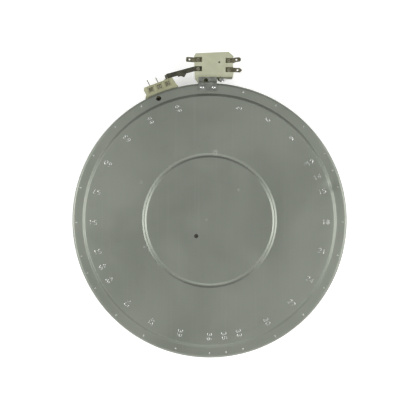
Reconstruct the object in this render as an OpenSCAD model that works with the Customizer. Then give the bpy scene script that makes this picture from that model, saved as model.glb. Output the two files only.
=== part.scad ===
// Dual-zone radiant heater of a glass-ceramic hob: a pressed pan that holds two ring-shaped heating
// zones in insulation, with a rod-type temperature limiter across them and a ceramic terminal block.
// Z = 0 is the rim that presses on the glass, and +Z points away from the glass, to the pan's back.
// +Y points from the pan's axis to the limiter.

/* [Pan] */
// Outside diameter of the pan
pan_d = 270; // [225:1:330]
// Thickness of the pan's sheet
sheet_t = 0.6; // [0.5:0.05:0.75]
// Height of the wall, from its free edge to the outer band
wall_h = 24; // [24:0.5:30]
// Rounding of the pan's outer edge
edge_r = 2.5; // [1.5:0.1:3.5]
// Width of the outer band, from the pan's edge to the foot of the step
band_w = 8.8; // [8:0.1:10]
// Width of the sloping step
step_w = 3.8; // [2.5:0.1:4.5]
// Height of the raised plate above the band
step_h = 1.8; // [1:0.1:2.5]
// Diameter of the round bead, at its middle
bead_d = 128; // [110:1:140]
// Width of the bead
bead_w = 5.6; // [4:0.1:7]
// Depth of the bead
bead_depth = 1.3; // [0.8:0.1:1.8]
// Diameter of the fixing hole in the band
rim_hole_d = 5; // [3:0.1:6]
// Distance of the fixing hole from the pan's edge
rim_hole_inset = 5.1; // [5:0.1:5.4]
// Place of the fixing hole round the band, anticlockwise from the limiter
rim_hole_angle = 22.65; // [18:0.05:40]
// Diameter of the hole in the plate
plate_hole_d = 4.1; // [2:0.1:6]
// Place of the plate's hole, across the pan
plate_hole_x = -13.1; // [-30:0.1:30]
// Place of the plate's hole, along the limiter's axis
plate_hole_y = -15.3; // [-30:0.1:30]

/* [Insulation] */
// How far the outer ring stands proud of the wall's free edge
rim_proud = 3; // [2:0.1:4]
// Width of the outer ring
ring_w = 11.7; // [11:0.1:14]
// Rounding of the outer ring's corners
ring_r = 0.8; // [0.3:0.1:1.2]
// Depth of the heating space, from the rim to the floor
floor_z = 15; // [14:0.1:17]
// Width of the partition ring between the zones
partition_w = 6; // [5:0.1:8]
// How far the partition ring stays below the rim
partition_low = 1.5; // [0.5:0.1:3]
// Depth of the partition ring's seat in the floor
seat_depth = 1.5; // [1:0.1:2.5]

/* [Heating ribbons] */
// Height of the ribbon, on edge
ribbon_h = 5; // [4:0.1:5]
// Thickness of the ribbon
ribbon_t = 0.25; // [0.2:0.01:0.4]
// Depth of the ribbon's groove in the floor
groove_depth = 1.5; // [1:0.1:2]
// Width of the ribbon's wave
wave_w = 3.2; // [2:0.1:4]
// Length of one wave
wave_l = 7; // [6:0.1:10]
// Least distance between two tracks of the outer zone
outer_pitch = 10; // [8:0.1:14]
// Least distance between two tracks of the inner zone
inner_pitch = 9; // [8:0.1:12]
// Distance of the outermost track from the outer ring
outer_edge = 7.5; // [5:0.1:12]
// Distance of the outer zone's innermost track from the partition ring
outer_inset = 8; // [5:0.1:12]
// Distance of the inner zone's first track from the partition ring
inner_edge = 9; // [5:0.1:12]
// Radius of the smallest track
last_track_r = 16; // [15:0.1:20]
// Thickness of the strips that lead to the terminals
lead_t = 0.4; // [0.3:0.05:0.6]
// Height of the leads
lead_h = 3.4; // [2.5:0.1:3.5]
// Length of each weld between a ribbon's end and its lead
weld_l = 5; // [3:0.1:6]

/* [Terminal block] */
// Place of the block round the pan, anticlockwise from the limiter
block_angle = 20.5; // [20.5:0.1:30]
// Distance between two terminals
terminal_pitch = 8.7; // [8:0.1:9.5]
// Width of a terminal blade
blade_w = 6.3; // [4.8:0.1:6.3]
// Thickness of the terminals, the tabs and the link strap
blade_t = 0.8; // [0.6:0.1:0.9]
// Length of a blade outside the block
blade_l = 6.8; // [5:0.1:9]
// How far the two free blades lean over
blade_lean = 5.5; // [0:0.1:8]
// How far the block stands out from the pan
block_out = 10; // [9:0.1:12]
// Height of the block
block_h = 16; // [15:0.1:17]

/* [Limiter] */
// Outside diameter of the probe's tube
tube_d = 5; // [4:0.1:5.2]
// Bore of the probe's tube
tube_bore = 3.2; // [2.6:0.1:3.4]
// Diameter of the expanding rod
rod_d = 2.4; // [1.8:0.1:2.5]
// Depth of the probe's axis below the rim
probe_z = 7.4; // [7.2:0.1:8]
// Distance between the pan and the head
head_gap = 6.5; // [6:0.1:9]
// Reach of the head to the left of the probe
head_left = 15.2; // [15:0.1:20]
// Reach of the head to the right of the probe
head_right = 23.6; // [23:0.1:28]
// Depth of the head, away from the pan
head_d = 23.8; // [23.4:0.1:28]
// Height of the head's visible face above the rim
head_top = 24.5; // [24:0.1:26]
// Width of the recesses that hold the tabs
recess_w = 5; // [4.6:0.1:5.4]
// Length of the recesses
recess_l = 7.8; // [7:0.1:8.5]
// Diameter of the adjusting screw
screw_d = 4; // [3:0.1:5]
// Width of the bracket
bracket_w = 18.1; // [14:0.1:18.5]
// Thickness of the bracket
bracket_t = 1; // [0.8:0.1:1.2]

/* [Clearances] */
// Between the pan's sheet and the insulation behind it
seat_gap = 0.05; // [0:0.01:0.2]
// Between the insulation's pieces, and between the ring and the wall
ring_gap = 0.2; // [0.1:0.05:0.4]
// Round the probe where it passes through another piece
probe_gap = 0.2; // [0.1:0.05:0.3]
// Round metal in its slot in the ceramic
slot_gap = 0.1; // [0.05:0.05:0.2]
// Round a rivet or screw in its hole
hole_gap = 0.05; // [0.02:0.01:0.1]

/* [Hidden] */
$fn = 96;
eps = 0.01;

steel = [0.49, 0.51, 0.47];
dark_steel = [0.30, 0.30, 0.25];
bright_steel = [0.70, 0.70, 0.66];
fibre = [0.85, 0.84, 0.80];
board = [0.78, 0.76, 0.70];
alloy = [0.35, 0.32, 0.30];
ceramic = [0.74, 0.75, 0.62];
quartz = [0.86, 0.88, 0.88];
silver = [0.80, 0.80, 0.80];

// Pan, from the rim up
pan_r = pan_d / 2;
inside_r = pan_r - sheet_t;
band_z = rim_proud + wall_h;
plate_z = band_z + step_h;
step_foot_r = pan_r - band_w;
step_head_r = step_foot_r - step_w;
bead_r = bead_d / 2;
step_foot_round = 1.5;
step_head_round = 1;
bead_round = 1.6;
bead_floor_round = 2.2;
rim_hole_r = pan_r - rim_hole_inset;
rim_pocket_depth = 14;
plate_pocket_depth = 7;
pocket_clear = 0.6;

// Insulation
ring_outer_r = inside_r - ring_gap;
ring_inner_r = ring_outer_r - ring_w;
ring_top = band_z - sheet_t - seat_gap;
base_r = ring_inner_r - ring_gap;
base_top = plate_z - sheet_t - seat_gap;
base_chamfer = 0.8;
partition_inner_r = bead_r - partition_w / 2;
partition_outer_r = bead_r + partition_w / 2;
partition_top = floor_z + seat_depth - seat_gap;

// Ribbons: each zone has an odd number of tracks, so that it starts and ends on opposite sides
ribbon_top = floor_z + groove_depth;
groove_side = 0.4;
groove_w = wave_w + ribbon_t + 2 * groove_side;
outer_first = ring_inner_r - outer_edge;
outer_last = partition_outer_r + outer_inset;
outer_tracks = 2 * floor((outer_first - outer_last) / (2 * outer_pitch)) + 1;
inner_first = partition_inner_r - inner_edge;
inner_tracks = 2 * floor((inner_first - last_track_r) / (2 * inner_pitch)) + 1;
lead_z = floor_z - lead_h;
lead_slot_w = 2;
lead_slot_low = lead_z - 0.6;
outer_turn = 2.25 * terminal_pitch;
outer_gaps = [outer_turn, outer_turn, outer_turn];
inner_gaps = [terminal_pitch + 6.3, 10, 10];
tail_lead = 2;
tail_root = -1.5;
tail_groove_w = 2.6;
pocket_gap = 0.5;
pocket_drop = 0.1;

// Terminals: u runs along the block, v outwards from the pan's axis
block_z = 8;
block_top = block_z + block_h;
block_face = pan_r + block_out;
plate_under = 4.4;
plate_low = block_top - plate_under;
blade_top = plate_low + blade_t;
terminal_u = [-terminal_pitch, 0, terminal_pitch];
lead_u = [for (u = terminal_u) u + blade_t / 2];
terminal_plate_w = 5.2;
rivet_v = pan_r + 6;
tongue_v = pan_r - 6.5;
lead_outer_v = pan_r - 1.5;
lead_spare = 2;
plate_in_v = rivet_v - 3.3;
plate_out_v = rivet_v + 3.4;
blade_root_v = block_face + 0.6;
window_half = 2.6;
blade_taper = 1;
blade_hole_d = 1.6;
blade_hole_in = 2.4;
common_blade_l = 4.8;
block_end = 1.5 * terminal_pitch + 2.85;
block_lip = 1.3;
slot_half = terminal_pitch + 3.3;
slot_top = 21.5;
slot_low = lead_z - 0.3;
flange_half = slot_half + 2;
flange_t = 3;
flange_v = pan_r - 3.8;
rivet_d = 2.4;
rivet_head_d = 3.6;
rivet_head_h = 0.9;
rivet_tail_d = 3;
rivet_bore = 1.2;
front_well = 2;
well_w = 4.2;
well_depth = 2.4;
dish_depth = 0.7;
dish_w = terminal_pitch - 1.9;
dish_l = 6.6;

// Link strap
strap_w = 4.7;
strap_z = blade_top;
fold_l = 3.4;
fold_h = 5.8;
fold_r = 1.3;
fold_u = lead_u[2];
fold_v = block_face + 3.2;
lug_at = 0.42;
lug_reach = 5.6;

// Limiter: its pieces are placed from the head's wall on the pan's side
head_y = pan_r + head_gap;
cover_low = 1.5;
cover_t = 2.5;
housing_low = cover_low + cover_t;
bevel_y = 2.2;
bevel_z = 1.9;
nose_left = 11.2;
nose_right = 7.4;
nose_gap = 0.45;
nose_shoulder = 3.6;
chamber_left = 12.8;
chamber_right = 21.2;
chamber_near = 3;
chamber_far = 20;
chamber_top = 16;
left_near = 7.95;
left_far = 16.95;
right_drop = 0.9;
left_rivet_x = -11.2;
right_rivet_x = 18.8;
recess_z = strap_z;
left_recess_x = recess_l - head_left;
right_recess_x = head_right - recess_l;
tab_rivet_at = [
    [left_rivet_x, left_near],
    [left_rivet_x, left_far],
    [right_rivet_x, left_near - right_drop],
    [right_rivet_x, left_far - right_drop],
];
tab_l = 8;
tab_w = 4.8;
signal_tab_w = 4.4;
tab_hole_d = 1.8;
tab_hole_in = 2.4;
vent_x = 9.6;
vent_y = 14.3;
vent_d = 1.8;
tube_seat = 2;
leaf_t = 0.5;
leaf_at = 9.6;
leaf_low = housing_low + 0.8;
contact_t = 0.8;
button_d = 3;
button_t = 1.2;
button_gap = 0.1;
contact_at = leaf_at + leaf_t + 2 * button_t + button_gap;
button_x = 5.6;
button_z = 8.6;
foot_reach = 2.1;
foot_w = 4.6;
foot_end_left = 12.6;
foot_end_right = 21;
leaf_tip = 0.3;
leaf_below = 2.4;
leaf_above = 3.4;
contact_reach = 2;
contact_above = 3;
touch_gap = 0.1;
screw_x = 12;
screw_z = 12;
nut_af = 7;
nut_h = 3.1;
screw_proud = 0.9;
driver_slot_w = 0.8;
driver_slot_depth = 0.8;
cover_screw_d = 1.8;
cover_screw_head_d = 2.6;
cover_screw_head_h = 1;
cover_screw_l = 6.8;
cover_screw_sunk = 0.2;
cover_slot_w = 0.4;
cover_slot_depth = 0.5;
cover_screw_at = [[1.9 - head_left, 1.6], [head_right - 1.9, 1.6], [3, 21.9]];
tube_end = ring_inner_r + 4.5;
cap_t = 1.3;
cap_spigot = 2.2;
rod_head_t = 0.5;
probe_pocket = tube_end + cap_t + rod_head_t - ring_inner_r + 0.3;
probe_slot_r = tube_d / 2 + 0.7;

// Bracket
bracket_x = -10.8;
bracket_top = band_z + bracket_t;
bracket_low = 21;
bracket_out_y = pan_r + bracket_t + 0.2;
bracket_hole_depth = 8;
bracket_foot_y = step_foot_r + 0.7;
bracket_bend_r = 1.25;
bracket_tongue = 4.4;
bracket_hole_d = 4.5;
bracket_hole_x = -3.5;
bracket_hole_out = 3.3;
blind_hole_less = 0.3;
notch_angle = 215;
notch_w = 1.6;
notch_l = 1.7;
bracket_rivet_x = [-7.3, 4.1];
bracket_rivet_y = pan_r - 4.2;
dome_h = 0.9;
tail_t = 0.7;
tail_pocket = 1.4;

// The link strap's middle line, from the common terminal to its recess in the head
strap_path = [
    at_block(fold_u, fold_v),
    [-head_left - 0.4, head_y + left_near],
    [left_recess_x - slot_gap, head_y + left_near],
];
strap_rise = strap_path[1] - strap_path[0];

function unit(p) = p / norm(p);
function left_of(p) = [-p[1], p[0]];
function polar(r, a) = [r * cos(a), r * sin(a)];
function reversed(list) = [for (i = [len(list) - 1 : -1 : 0]) list[i]];

// Points of the arc that rounds the corner p between a and b
function corner_arc(a, p, b, steps) =
    let (
        at = [p[0], p[1]],
        u = unit([a[0], a[1]] - at),
        w = unit([b[0], b[1]] - at),
        half = acos(u * w) / 2,
        centre = at + unit(u + w) * p[2] / sin(half),
        from = at + u * p[2] / tan(half) - centre,
        to = at + w * p[2] / tan(half) - centre,
        start = atan2(from[1], from[0]),
        sweep = (atan2(to[1], to[0]) - start + 540) % 360 - 180
    )
    [for (k = [0 : steps]) centre + polar(p[2], start + sweep * k / steps)];

// An open path of [x, y, radius] points with its corners rounded
function rounded(path, steps = 6) = [
    for (i = [0 : len(path) - 1])
        each (i == 0 || i == len(path) - 1 || path[i][2] == 0)
            ? [[path[i][0], path[i][1]]]
            : corner_arc(path[i - 1], path[i], path[i + 1], steps)
];

// A closed outline of [x, y, radius] points with its corners rounded
function rounded_outline(points, steps = 5) = [
    let (n = len(points))
    for (i = [0 : n - 1])
        each (points[i][2] == 0)
            ? [[points[i][0], points[i][1]]]
            : corner_arc(points[(i + n - 1) % n], points[i], points[(i + 1) % n], steps)
];

// A path moved sideways by t, to the left of its direction
function beside(path, t) = [
    for (i = [0 : len(path) - 1])
        let (
            before = max(i, 1),
            after = min(i + 1, len(path) - 1),
            side = left_of(unit(path[before] - path[before - 1])),
            next_side = left_of(unit(path[after] - path[after - 1])),
            middle = unit(side + next_side)
        )
        path[i] + middle * t / (middle * side)
];

// The outline of a strip that runs along a path, from offset a to offset b on its left
function strip(path, a, b) = concat(beside(path, a), reversed(beside(path, b)));

// A point of the terminal block, from its place along the block and its distance from the axis
function at_block(u, v) =
    [u * cos(block_angle) - v * sin(block_angle), u * sin(block_angle) + v * cos(block_angle)];

// The pan's outer surface, from the wall's free edge to the axis
function pan_path() = rounded([
    [pan_r, rim_proud, 0],
    [pan_r, band_z, edge_r],
    [step_foot_r, band_z, step_foot_round],
    [step_head_r, plate_z, step_head_round],
    [bead_r + bead_w / 2, plate_z, bead_round],
    [bead_r, plate_z - bead_depth, bead_floor_round],
    [bead_r - bead_w / 2, plate_z, bead_round],
    [0, plate_z, 0],
]);

// The tracks of a zone, as arcs [centre, radius, start angle, sweep], joined by half turns.
// The first track starts on side -1, the left of the leads, or 1, the right. gaps holds the distances
// from the leads' middle line at which the first track starts, the half turns lie and the last track ends
function zone(first, last, tracks, side, gaps) =
    let (
        pitch = tracks > 1 ? (first - last) / (tracks - 1) : 0,
        middle = 90 + block_angle,
        ends = [
            asin(gaps[0] / first),
            for (i = [1 : 1 : tracks - 1]) asin(gaps[1] / (first - (i - 0.5) * pitch)),
            asin(gaps[2] / last),
        ]
    )
    [
        for (i = [0 : tracks - 1])
            let (
                s = i % 2 == 0 ? side : -side,
                r = first - i * pitch,
                end = middle - s * ends[i + 1],
                track = [[0, 0], r, middle + s * ends[i], s * (360 - ends[i] - ends[i + 1])],
                turn = [polar(r - pitch / 2, end), pitch / 2, end, s * 180]
            )
            each i == tracks - 1 ? [track] : [track, turn]
    ];

// A ribbon's waves along one arc: two corners to a wave
function waves(arc) =
    let (
        count = max(1, round(arc[1] * abs(arc[3]) * PI / 180 / wave_l)),
        way = arc[3] > 0 ? 1 : -1
    )
    [
        for (k = [0.5 : 1 : 2 * count - 0.5])
            arc[0] + polar(
                arc[1] - way * (floor(k) % 2 == 0 ? 1 : -1) * wave_w / 2,
                arc[2] + arc[3] * k / (2 * count)
            )
    ];

// A ribbon's straight end, from the end of its first or last track to its weld on the lead at u.
// from is where it starts, counted from the track's end towards the lead
function tail(r, gap, side, u, from) = [
    at_block(-side * (gap - from), sqrt(r * r - pow(gap - min(from, 0), 2))),
    at_block(u, r),
    at_block(u, r + weld_l),
];

function outer_zone() = zone(outer_first, outer_last, outer_tracks, 1, outer_gaps);
function inner_zone() = zone(inner_first, last_track_r, inner_tracks, -1, inner_gaps);
function outer_start(from) = tail(outer_first, outer_gaps[0], 1, lead_u[0] - ribbon_t / 2, from);
function outer_end(from) = tail(outer_last, outer_gaps[2], -1, lead_u[2] + lead_t + ribbon_t / 2, from);
function inner_start(from) = tail(inner_first, inner_gaps[0], -1, lead_u[2] + lead_t + ribbon_t / 2, from);
function inner_end(from) = tail(last_track_r, inner_gaps[2], 1, lead_u[1] - ribbon_t / 2, from);

// The whole centre line of a ribbon
function ribbon_path(arcs, start, end) = concat(reversed(start), [for (arc = arcs) each waves(arc)], end);

// Places its children in the terminal block's own directions
module in_block() rotate([0, 0, block_angle]) children();

// An outline in (x, z), as long as length along Y from y = 0
module along_y(length) rotate([90, 0, 0]) mirror([0, 0, 1]) linear_extrude(length) children();

// An outline in (y, z), as long as length along X from x = 0
module along_x(length) rotate([90, 0, 90]) linear_extrude(length) children();

// A round bar along Y, from y = from to y = to
module bar_y(r, from, to) translate([0, from, 0]) rotate([-90, 0, 0]) cylinder(r = r, h = to - from);

// A recess in the floor round the pan's axis, from angle a to angle b
module round_recess(r, w, depth, a, b)
    translate([0, 0, floor_z - 1])
        rotate([0, 0, min(a, b)])
            rotate_extrude(angle = abs(b - a))
                translate([r - w / 2, 0])
                    square([w, depth + 1]);

// A zone's recesses in the floor: a groove for each track and a pocket for each half turn
module zone_recesses(arcs) {
    for (arc = arcs)
        if (norm(arc[0]) == 0)
            round_recess(arc[1], groove_w, groove_depth, arc[2], arc[2] + arc[3]);
        else {
            way = sign(arc[3]);
            reach = arc[1] + groove_w / 2 + pocket_gap;
            degrees_per_mm = 180 / PI / norm(arc[0]);
            round_recess(norm(arc[0]), 2 * reach, groove_depth + pocket_drop,
                arc[2] - way * pocket_gap * degrees_per_mm, arc[2] + way * reach * degrees_per_mm);
        }
}

module tail_grooves(tails) {
    for (path = tails)
        translate([0, 0, floor_z - 1])
            linear_extrude(groove_depth + pocket_drop + 1)
                polygon(strip(path, -tail_groove_w / 2, tail_groove_w / 2));
}

module support_pan() color(steel) difference() {
    rotate_extrude() polygon(strip(pan_path(), 0, sheet_t));
    pan_openings();
}

// Everything that is punched out of the pan
module pan_openings() {
    in_block()
        translate([-slot_half, inside_r - edge_r, 0])
            cube([2 * slot_half, 2 * edge_r + sheet_t, slot_top]);
    translate([0, 0, probe_z]) bar_y(probe_slot_r, inside_r - edge_r, pan_r + edge_r);
    translate([-probe_slot_r, inside_r - edge_r, 0])
        cube([2 * probe_slot_r, 2 * edge_r, probe_z]);
    rotate([0, 0, rim_hole_angle])
        translate([0, rim_hole_r, band_z - 2 * sheet_t])
            cylinder(d = rim_hole_d, h = 3 * sheet_t);
    translate([plate_hole_x, plate_hole_y, plate_z - 2 * sheet_t])
        cylinder(d = plate_hole_d, h = 3 * sheet_t);
    for (x = bracket_rivet_x)
        translate([x, bracket_rivet_y, band_z - 2 * sheet_t])
            cylinder(d = rivet_d + 2 * hole_gap, h = 3 * sheet_t);
}

module insulation_base() color(board) difference() {
    rotate_extrude()
        polygon(concat(
            [
                [0, floor_z],
                [partition_inner_r - seat_gap, floor_z],
                [partition_inner_r - seat_gap, floor_z + seat_depth],
                [partition_outer_r + seat_gap, floor_z + seat_depth],
                [partition_outer_r + seat_gap, floor_z],
                [base_r, floor_z],
                [base_r, base_top - base_chamfer],
            ],
            [for (p = beside(pan_path(), sheet_t + seat_gap)) if (p[0] < base_r - base_chamfer) p]
        ));
    zone_recesses(outer_zone());
    zone_recesses(inner_zone());
    tail_grooves([outer_start(tail_root), outer_end(tail_root)]);
    tail_grooves([inner_start(tail_root), inner_end(tail_root)]);
    translate([plate_hole_x, plate_hole_y, base_top - plate_pocket_depth])
        cylinder(d = plate_hole_d + pocket_clear, h = plate_pocket_depth + 1);
}

module outer_insulation_ring() color(fibre) difference() {
    rotate_extrude()
        polygon(rounded_outline([
            [ring_inner_r, 0, ring_r],
            [ring_outer_r, 0, ring_r],
            [ring_outer_r, ring_top, edge_r - sheet_t / 2],
            [ring_inner_r, ring_top, ring_r],
        ]));
    translate([0, 0, probe_z]) bar_y(tube_d / 2 + probe_gap, ring_inner_r - 1, pan_r);
    translate([0, 0, probe_z]) bar_y(tube_d / 2 + probe_gap, -ring_inner_r - probe_pocket, 1 - ring_inner_r);
    in_block() {
        translate([-flange_half - ring_gap, tongue_v - ring_gap, block_z])
            cube([2 * (flange_half + ring_gap), pan_r - tongue_v, slot_top - block_z]);
        lead_slots(ring_inner_r - 1, tongue_v, floor_z + 0.5);
    }
    rotate([0, 0, rim_hole_angle])
        translate([0, rim_hole_r, ring_top - rim_pocket_depth])
            cylinder(d = rim_hole_d + pocket_clear, h = rim_pocket_depth + 1);
    for (x = bracket_rivet_x)
        translate([x, bracket_rivet_y, ring_top - tail_pocket])
            cylinder(d = rivet_head_d + 1, h = tail_pocket + 1);
}

// Slots for the three leads, in the block's directions
module lead_slots(from, to, top) {
    for (u = lead_u)
        translate([u + lead_t / 2 - lead_slot_w / 2, from, lead_slot_low])
            cube([lead_slot_w, to - from, top - lead_slot_low]);
}

module partition_ring() color(fibre) difference() {
    rotate_extrude()
        polygon(rounded_outline([
            [partition_inner_r, partition_low, ring_r],
            [partition_outer_r, partition_low, ring_r],
            [partition_outer_r, partition_top, 0],
            [partition_inner_r, partition_top, 0],
        ]));
    translate([0, 0, probe_z]) bar_y(tube_d / 2 + 2 * probe_gap, -pan_r, pan_r);
    translate([-tube_d / 2 - 2 * probe_gap, -pan_r, 0])
        cube([tube_d + 4 * probe_gap, pan_d, probe_z]);
    in_block() lead_slots(partition_inner_r - partition_w, partition_outer_r + 1, partition_top + 1);
}

// A corrugated ribbon on edge in its grooves
module ribbon(path) color(alloy)
    translate([0, 0, ribbon_top - ribbon_h])
        linear_extrude(ribbon_h) polygon(strip(path, -ribbon_t / 2, ribbon_t / 2));

module outer_ribbon()
    ribbon(ribbon_path(outer_zone(), outer_start(tail_lead), outer_end(tail_lead)));

module inner_ribbon()
    ribbon(ribbon_path(inner_zone(), inner_start(tail_lead), inner_end(tail_lead)));

// A lead's strip, from its inner end to its weld on the terminal
module lead(i, inner_v) color(alloy) in_block()
    translate([lead_u[i], inner_v, lead_z]) cube([lead_t, lead_outer_v - inner_v, lead_h]);

module lead_outer() lead(0, outer_first - lead_spare);

module lead_inner() lead(1, last_track_r - lead_spare);

module lead_common() lead(2, inner_first - lead_spare);

// The terminal block's outline, seen from the back
module block_outline() polygon(rounded_outline([
    [-block_end - 1.5, pan_r - 1.3, 0],
    [-block_end - 0.6, pan_r + 0.9, 1],
    [-block_end + 1, pan_r + 2.6, 2],
    [-block_end, pan_r + 7.2, 1.5],
    [-block_end + 1.1, block_face, 0.8],
    [block_end - 1.1, block_face, 0.8],
    [block_end, pan_r + 5.5, 2],
    [block_end + 0.5, pan_r + 2.4, 2],
    [block_end + 1.5, pan_r + 0.3, 0],
    [block_end + 1.5, pan_r - 1.3, 0],
]));

// The ledge that runs under the link strap
module ledge_outline() polygon(rounded_outline([
    [block_end - 9.4, block_face - 2, 0],
    [block_end - 9, block_face + block_lip, 0.5],
    [block_end - 1.8, block_face + block_lip, 1],
    [block_end - 1.2, block_face - 2, 0],
]));

module terminal_block() color(ceramic) in_block() difference() {
    union() {
        difference() {
            union() {
                translate([0, 0, block_z]) linear_extrude(block_h) block_outline();
                translate([0, 0, block_z]) linear_extrude(strap_z - slot_gap - block_z) ledge_outline();
            }
            cylinder(r = pan_r + ring_gap, h = band_z, $fn = 180);
        }
        intersection() {
            translate([-flange_half, flange_v, block_z + ring_gap])
                cube([2 * flange_half, flange_t + 2, slot_top - block_z - 2 * ring_gap]);
            cylinder(r = inside_r - ring_gap / 2, h = band_z, $fn = 180);
        }
        translate([ring_gap - slot_half, flange_v + 1, block_z + ring_gap])
            cube([2 * (slot_half - ring_gap), pan_r - flange_v, slot_top - block_z - 2 * ring_gap]);
    }
    for (u = terminal_u) translate([u, 0, 0]) terminal_slot();
}

// The slot of one terminal with its rivet's wells
module terminal_slot() {
    translate([-blade_t / 2 - slot_gap, flange_v - 1, slot_low])
        cube([blade_t + lead_t + 2 * slot_gap, pan_r, blade_top + slot_gap - slot_low]);
    translate([-terminal_plate_w / 2 - slot_gap, plate_in_v - slot_gap, plate_low - slot_gap])
        cube([terminal_plate_w + 2 * slot_gap, pan_r, blade_t + 2 * slot_gap]);
    translate([0, rivet_v, block_z - 1]) cylinder(d = rivet_d + 2 * hole_gap, h = block_h + 2);
    translate([0, rivet_v, block_z - 1]) cylinder(d = rivet_head_d + 1, h = front_well + 1);
    translate([-well_w / 2, rivet_v - well_w / 2, block_top - well_depth]) cube([well_w, well_w, block_h]);
    translate([-dish_w / 2, rivet_v - dish_l / 2, block_top - dish_depth]) cube([dish_w, dish_l, block_h]);
}

// One terminal: a strip on edge, with a plate on its top that the rivet holds
module terminal(i, length, lean) color(dark_steel) in_block() translate([terminal_u[i], 0, 0]) difference() {
    union() {
        translate([-blade_t / 2, 0, 0]) along_x(blade_t) polygon([
            [tongue_v, blade_top],
            [tongue_v, lead_z],
            [lead_outer_v + 0.5, lead_z],
            [lead_outer_v + 2.5, blade_top - blade_w],
            [blade_root_v, blade_top - blade_w],
            [blade_root_v, blade_top],
        ]);
        translate([0, blade_root_v, 0]) rotate([0, 0, lean]) blade(length - (blade_root_v - block_face));
        translate([0, blade_root_v, blade_top - blade_w]) cylinder(d = blade_t, h = blade_w);
        translate([-terminal_plate_w / 2, plate_in_v, plate_low])
            cube([terminal_plate_w, plate_out_v - plate_in_v, blade_t]);
    }
    translate([0, rivet_v, 0]) cylinder(d = rivet_d + 2 * hole_gap, h = band_z);
    translate([-blade_t, rivet_v - window_half, 0]) cube([2 * blade_t, 2 * window_half, plate_low]);
}

// The free part of a terminal's blade, from its root
module blade(length) difference() {
    translate([-blade_t / 2, 0, 0]) along_x(blade_t) polygon([
        [0, blade_top - blade_w],
        [length - blade_taper, blade_top - blade_w],
        [length, blade_top - blade_w + blade_taper],
        [length, blade_top - blade_taper],
        [length - blade_taper, blade_top],
        [0, blade_top],
    ]);
    translate([-blade_t, length - blade_hole_in, blade_top - blade_w / 2])
        rotate([0, 90, 0]) cylinder(d = blade_hole_d, h = 2 * blade_t);
}

module terminal_outer() terminal(0, blade_l, blade_lean);

module terminal_inner() terminal(1, blade_l - 0.7, blade_lean);

module terminal_common() terminal(2, common_blade_l, 0);

// A rivet along Z: its head's underside at top, the inner side of its closing head at low
module rivet(top, low) difference() {
    union() {
        translate([0, 0, low - tail_t]) cylinder(d = rivet_tail_d, h = tail_t);
        translate([0, 0, low - eps]) cylinder(d = rivet_d, h = top - low + 2 * eps);
        translate([0, 0, top]) cylinder(d = rivet_head_d, h = rivet_head_h);
    }
    translate([0, 0, top - rivet_head_h]) cylinder(d = rivet_bore, h = 3 * rivet_head_h);
}

module terminal_rivets() color(bright_steel) in_block()
    for (u = terminal_u)
        translate([u, rivet_v, 0]) rivet(block_top - well_depth, block_z + front_well);

// The strap from the common terminal to the limiter, folded down at the terminal
module link_strap() color(dark_steel) difference() {
    union() {
        difference() {
            translate([0, 0, strap_z]) linear_extrude(blade_t) {
                polygon(strip(strap_path, -strap_w / 2, strap_w / 2));
                translate(strap_path[1] + (strap_path[0] - strap_path[1]) * lug_at)
                    rotate(atan2(strap_rise[1], strap_rise[0]))
                        polygon(rounded_outline([
                            [-5, 0, 0], [-5, 1.2 - strap_w, 0], [-1.6, 1.1 - strap_w, 1],
                            [0.8, -lug_reach, 0.8], [4, -strap_w / 2, 1], [5, 0, 0],
                        ]));
            }
            in_block()
                translate([fold_u - block_end, block_face - block_out, strap_z - 1])
                    cube([block_end + fold_r + eps, 2 * block_out, 3]);
        }
        in_block()
            translate([0, fold_v - fold_l / 2, 0])
                along_y(fold_l)
                    polygon(strip(rounded([
                        [fold_u, strap_z - fold_h, 0],
                        [fold_u, strap_z + blade_t, fold_r],
                        [fold_u + 2 * fold_r, strap_z + blade_t, 0],
                    ]), 0, -blade_t));
    }
    translate([left_rivet_x, head_y + left_near, 0]) cylinder(d = rivet_d + 2 * hole_gap, h = head_top);
}

// The head's outline, seen from the back
module head_outline() polygon(rounded_outline([
    [-head_left + 0.5, head_y, 0.6],
    [-head_left, head_y + head_d - 3.1, 0.8],
    [1.7 - head_left, head_y + head_d - 0.7, 1],
    [head_right - 4.7, head_y + head_d + 0.7, 1],
    [head_right, head_y + head_d - 3.5, 1],
    [head_right - 0.5, head_y + head_d / 2, 6],
    [head_right + 0.2, head_y + 4, 1.5],
    [head_right - 0.4, head_y, 1.6],
]));

// The nose that carries the probe and the bracket
module nose_outline() polygon(rounded_outline([
    [-head_left + 0.8, head_y + 1, 0],
    [-head_left + 0.8, head_y - 0.3, 1],
    [-nose_left - 0.6, head_y - nose_shoulder, 3],
    [-nose_left, pan_r + nose_gap, 0.4],
    [nose_right, pan_r + nose_gap, 0.4],
    [nose_right, head_y + 1, 0],
]));

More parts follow.
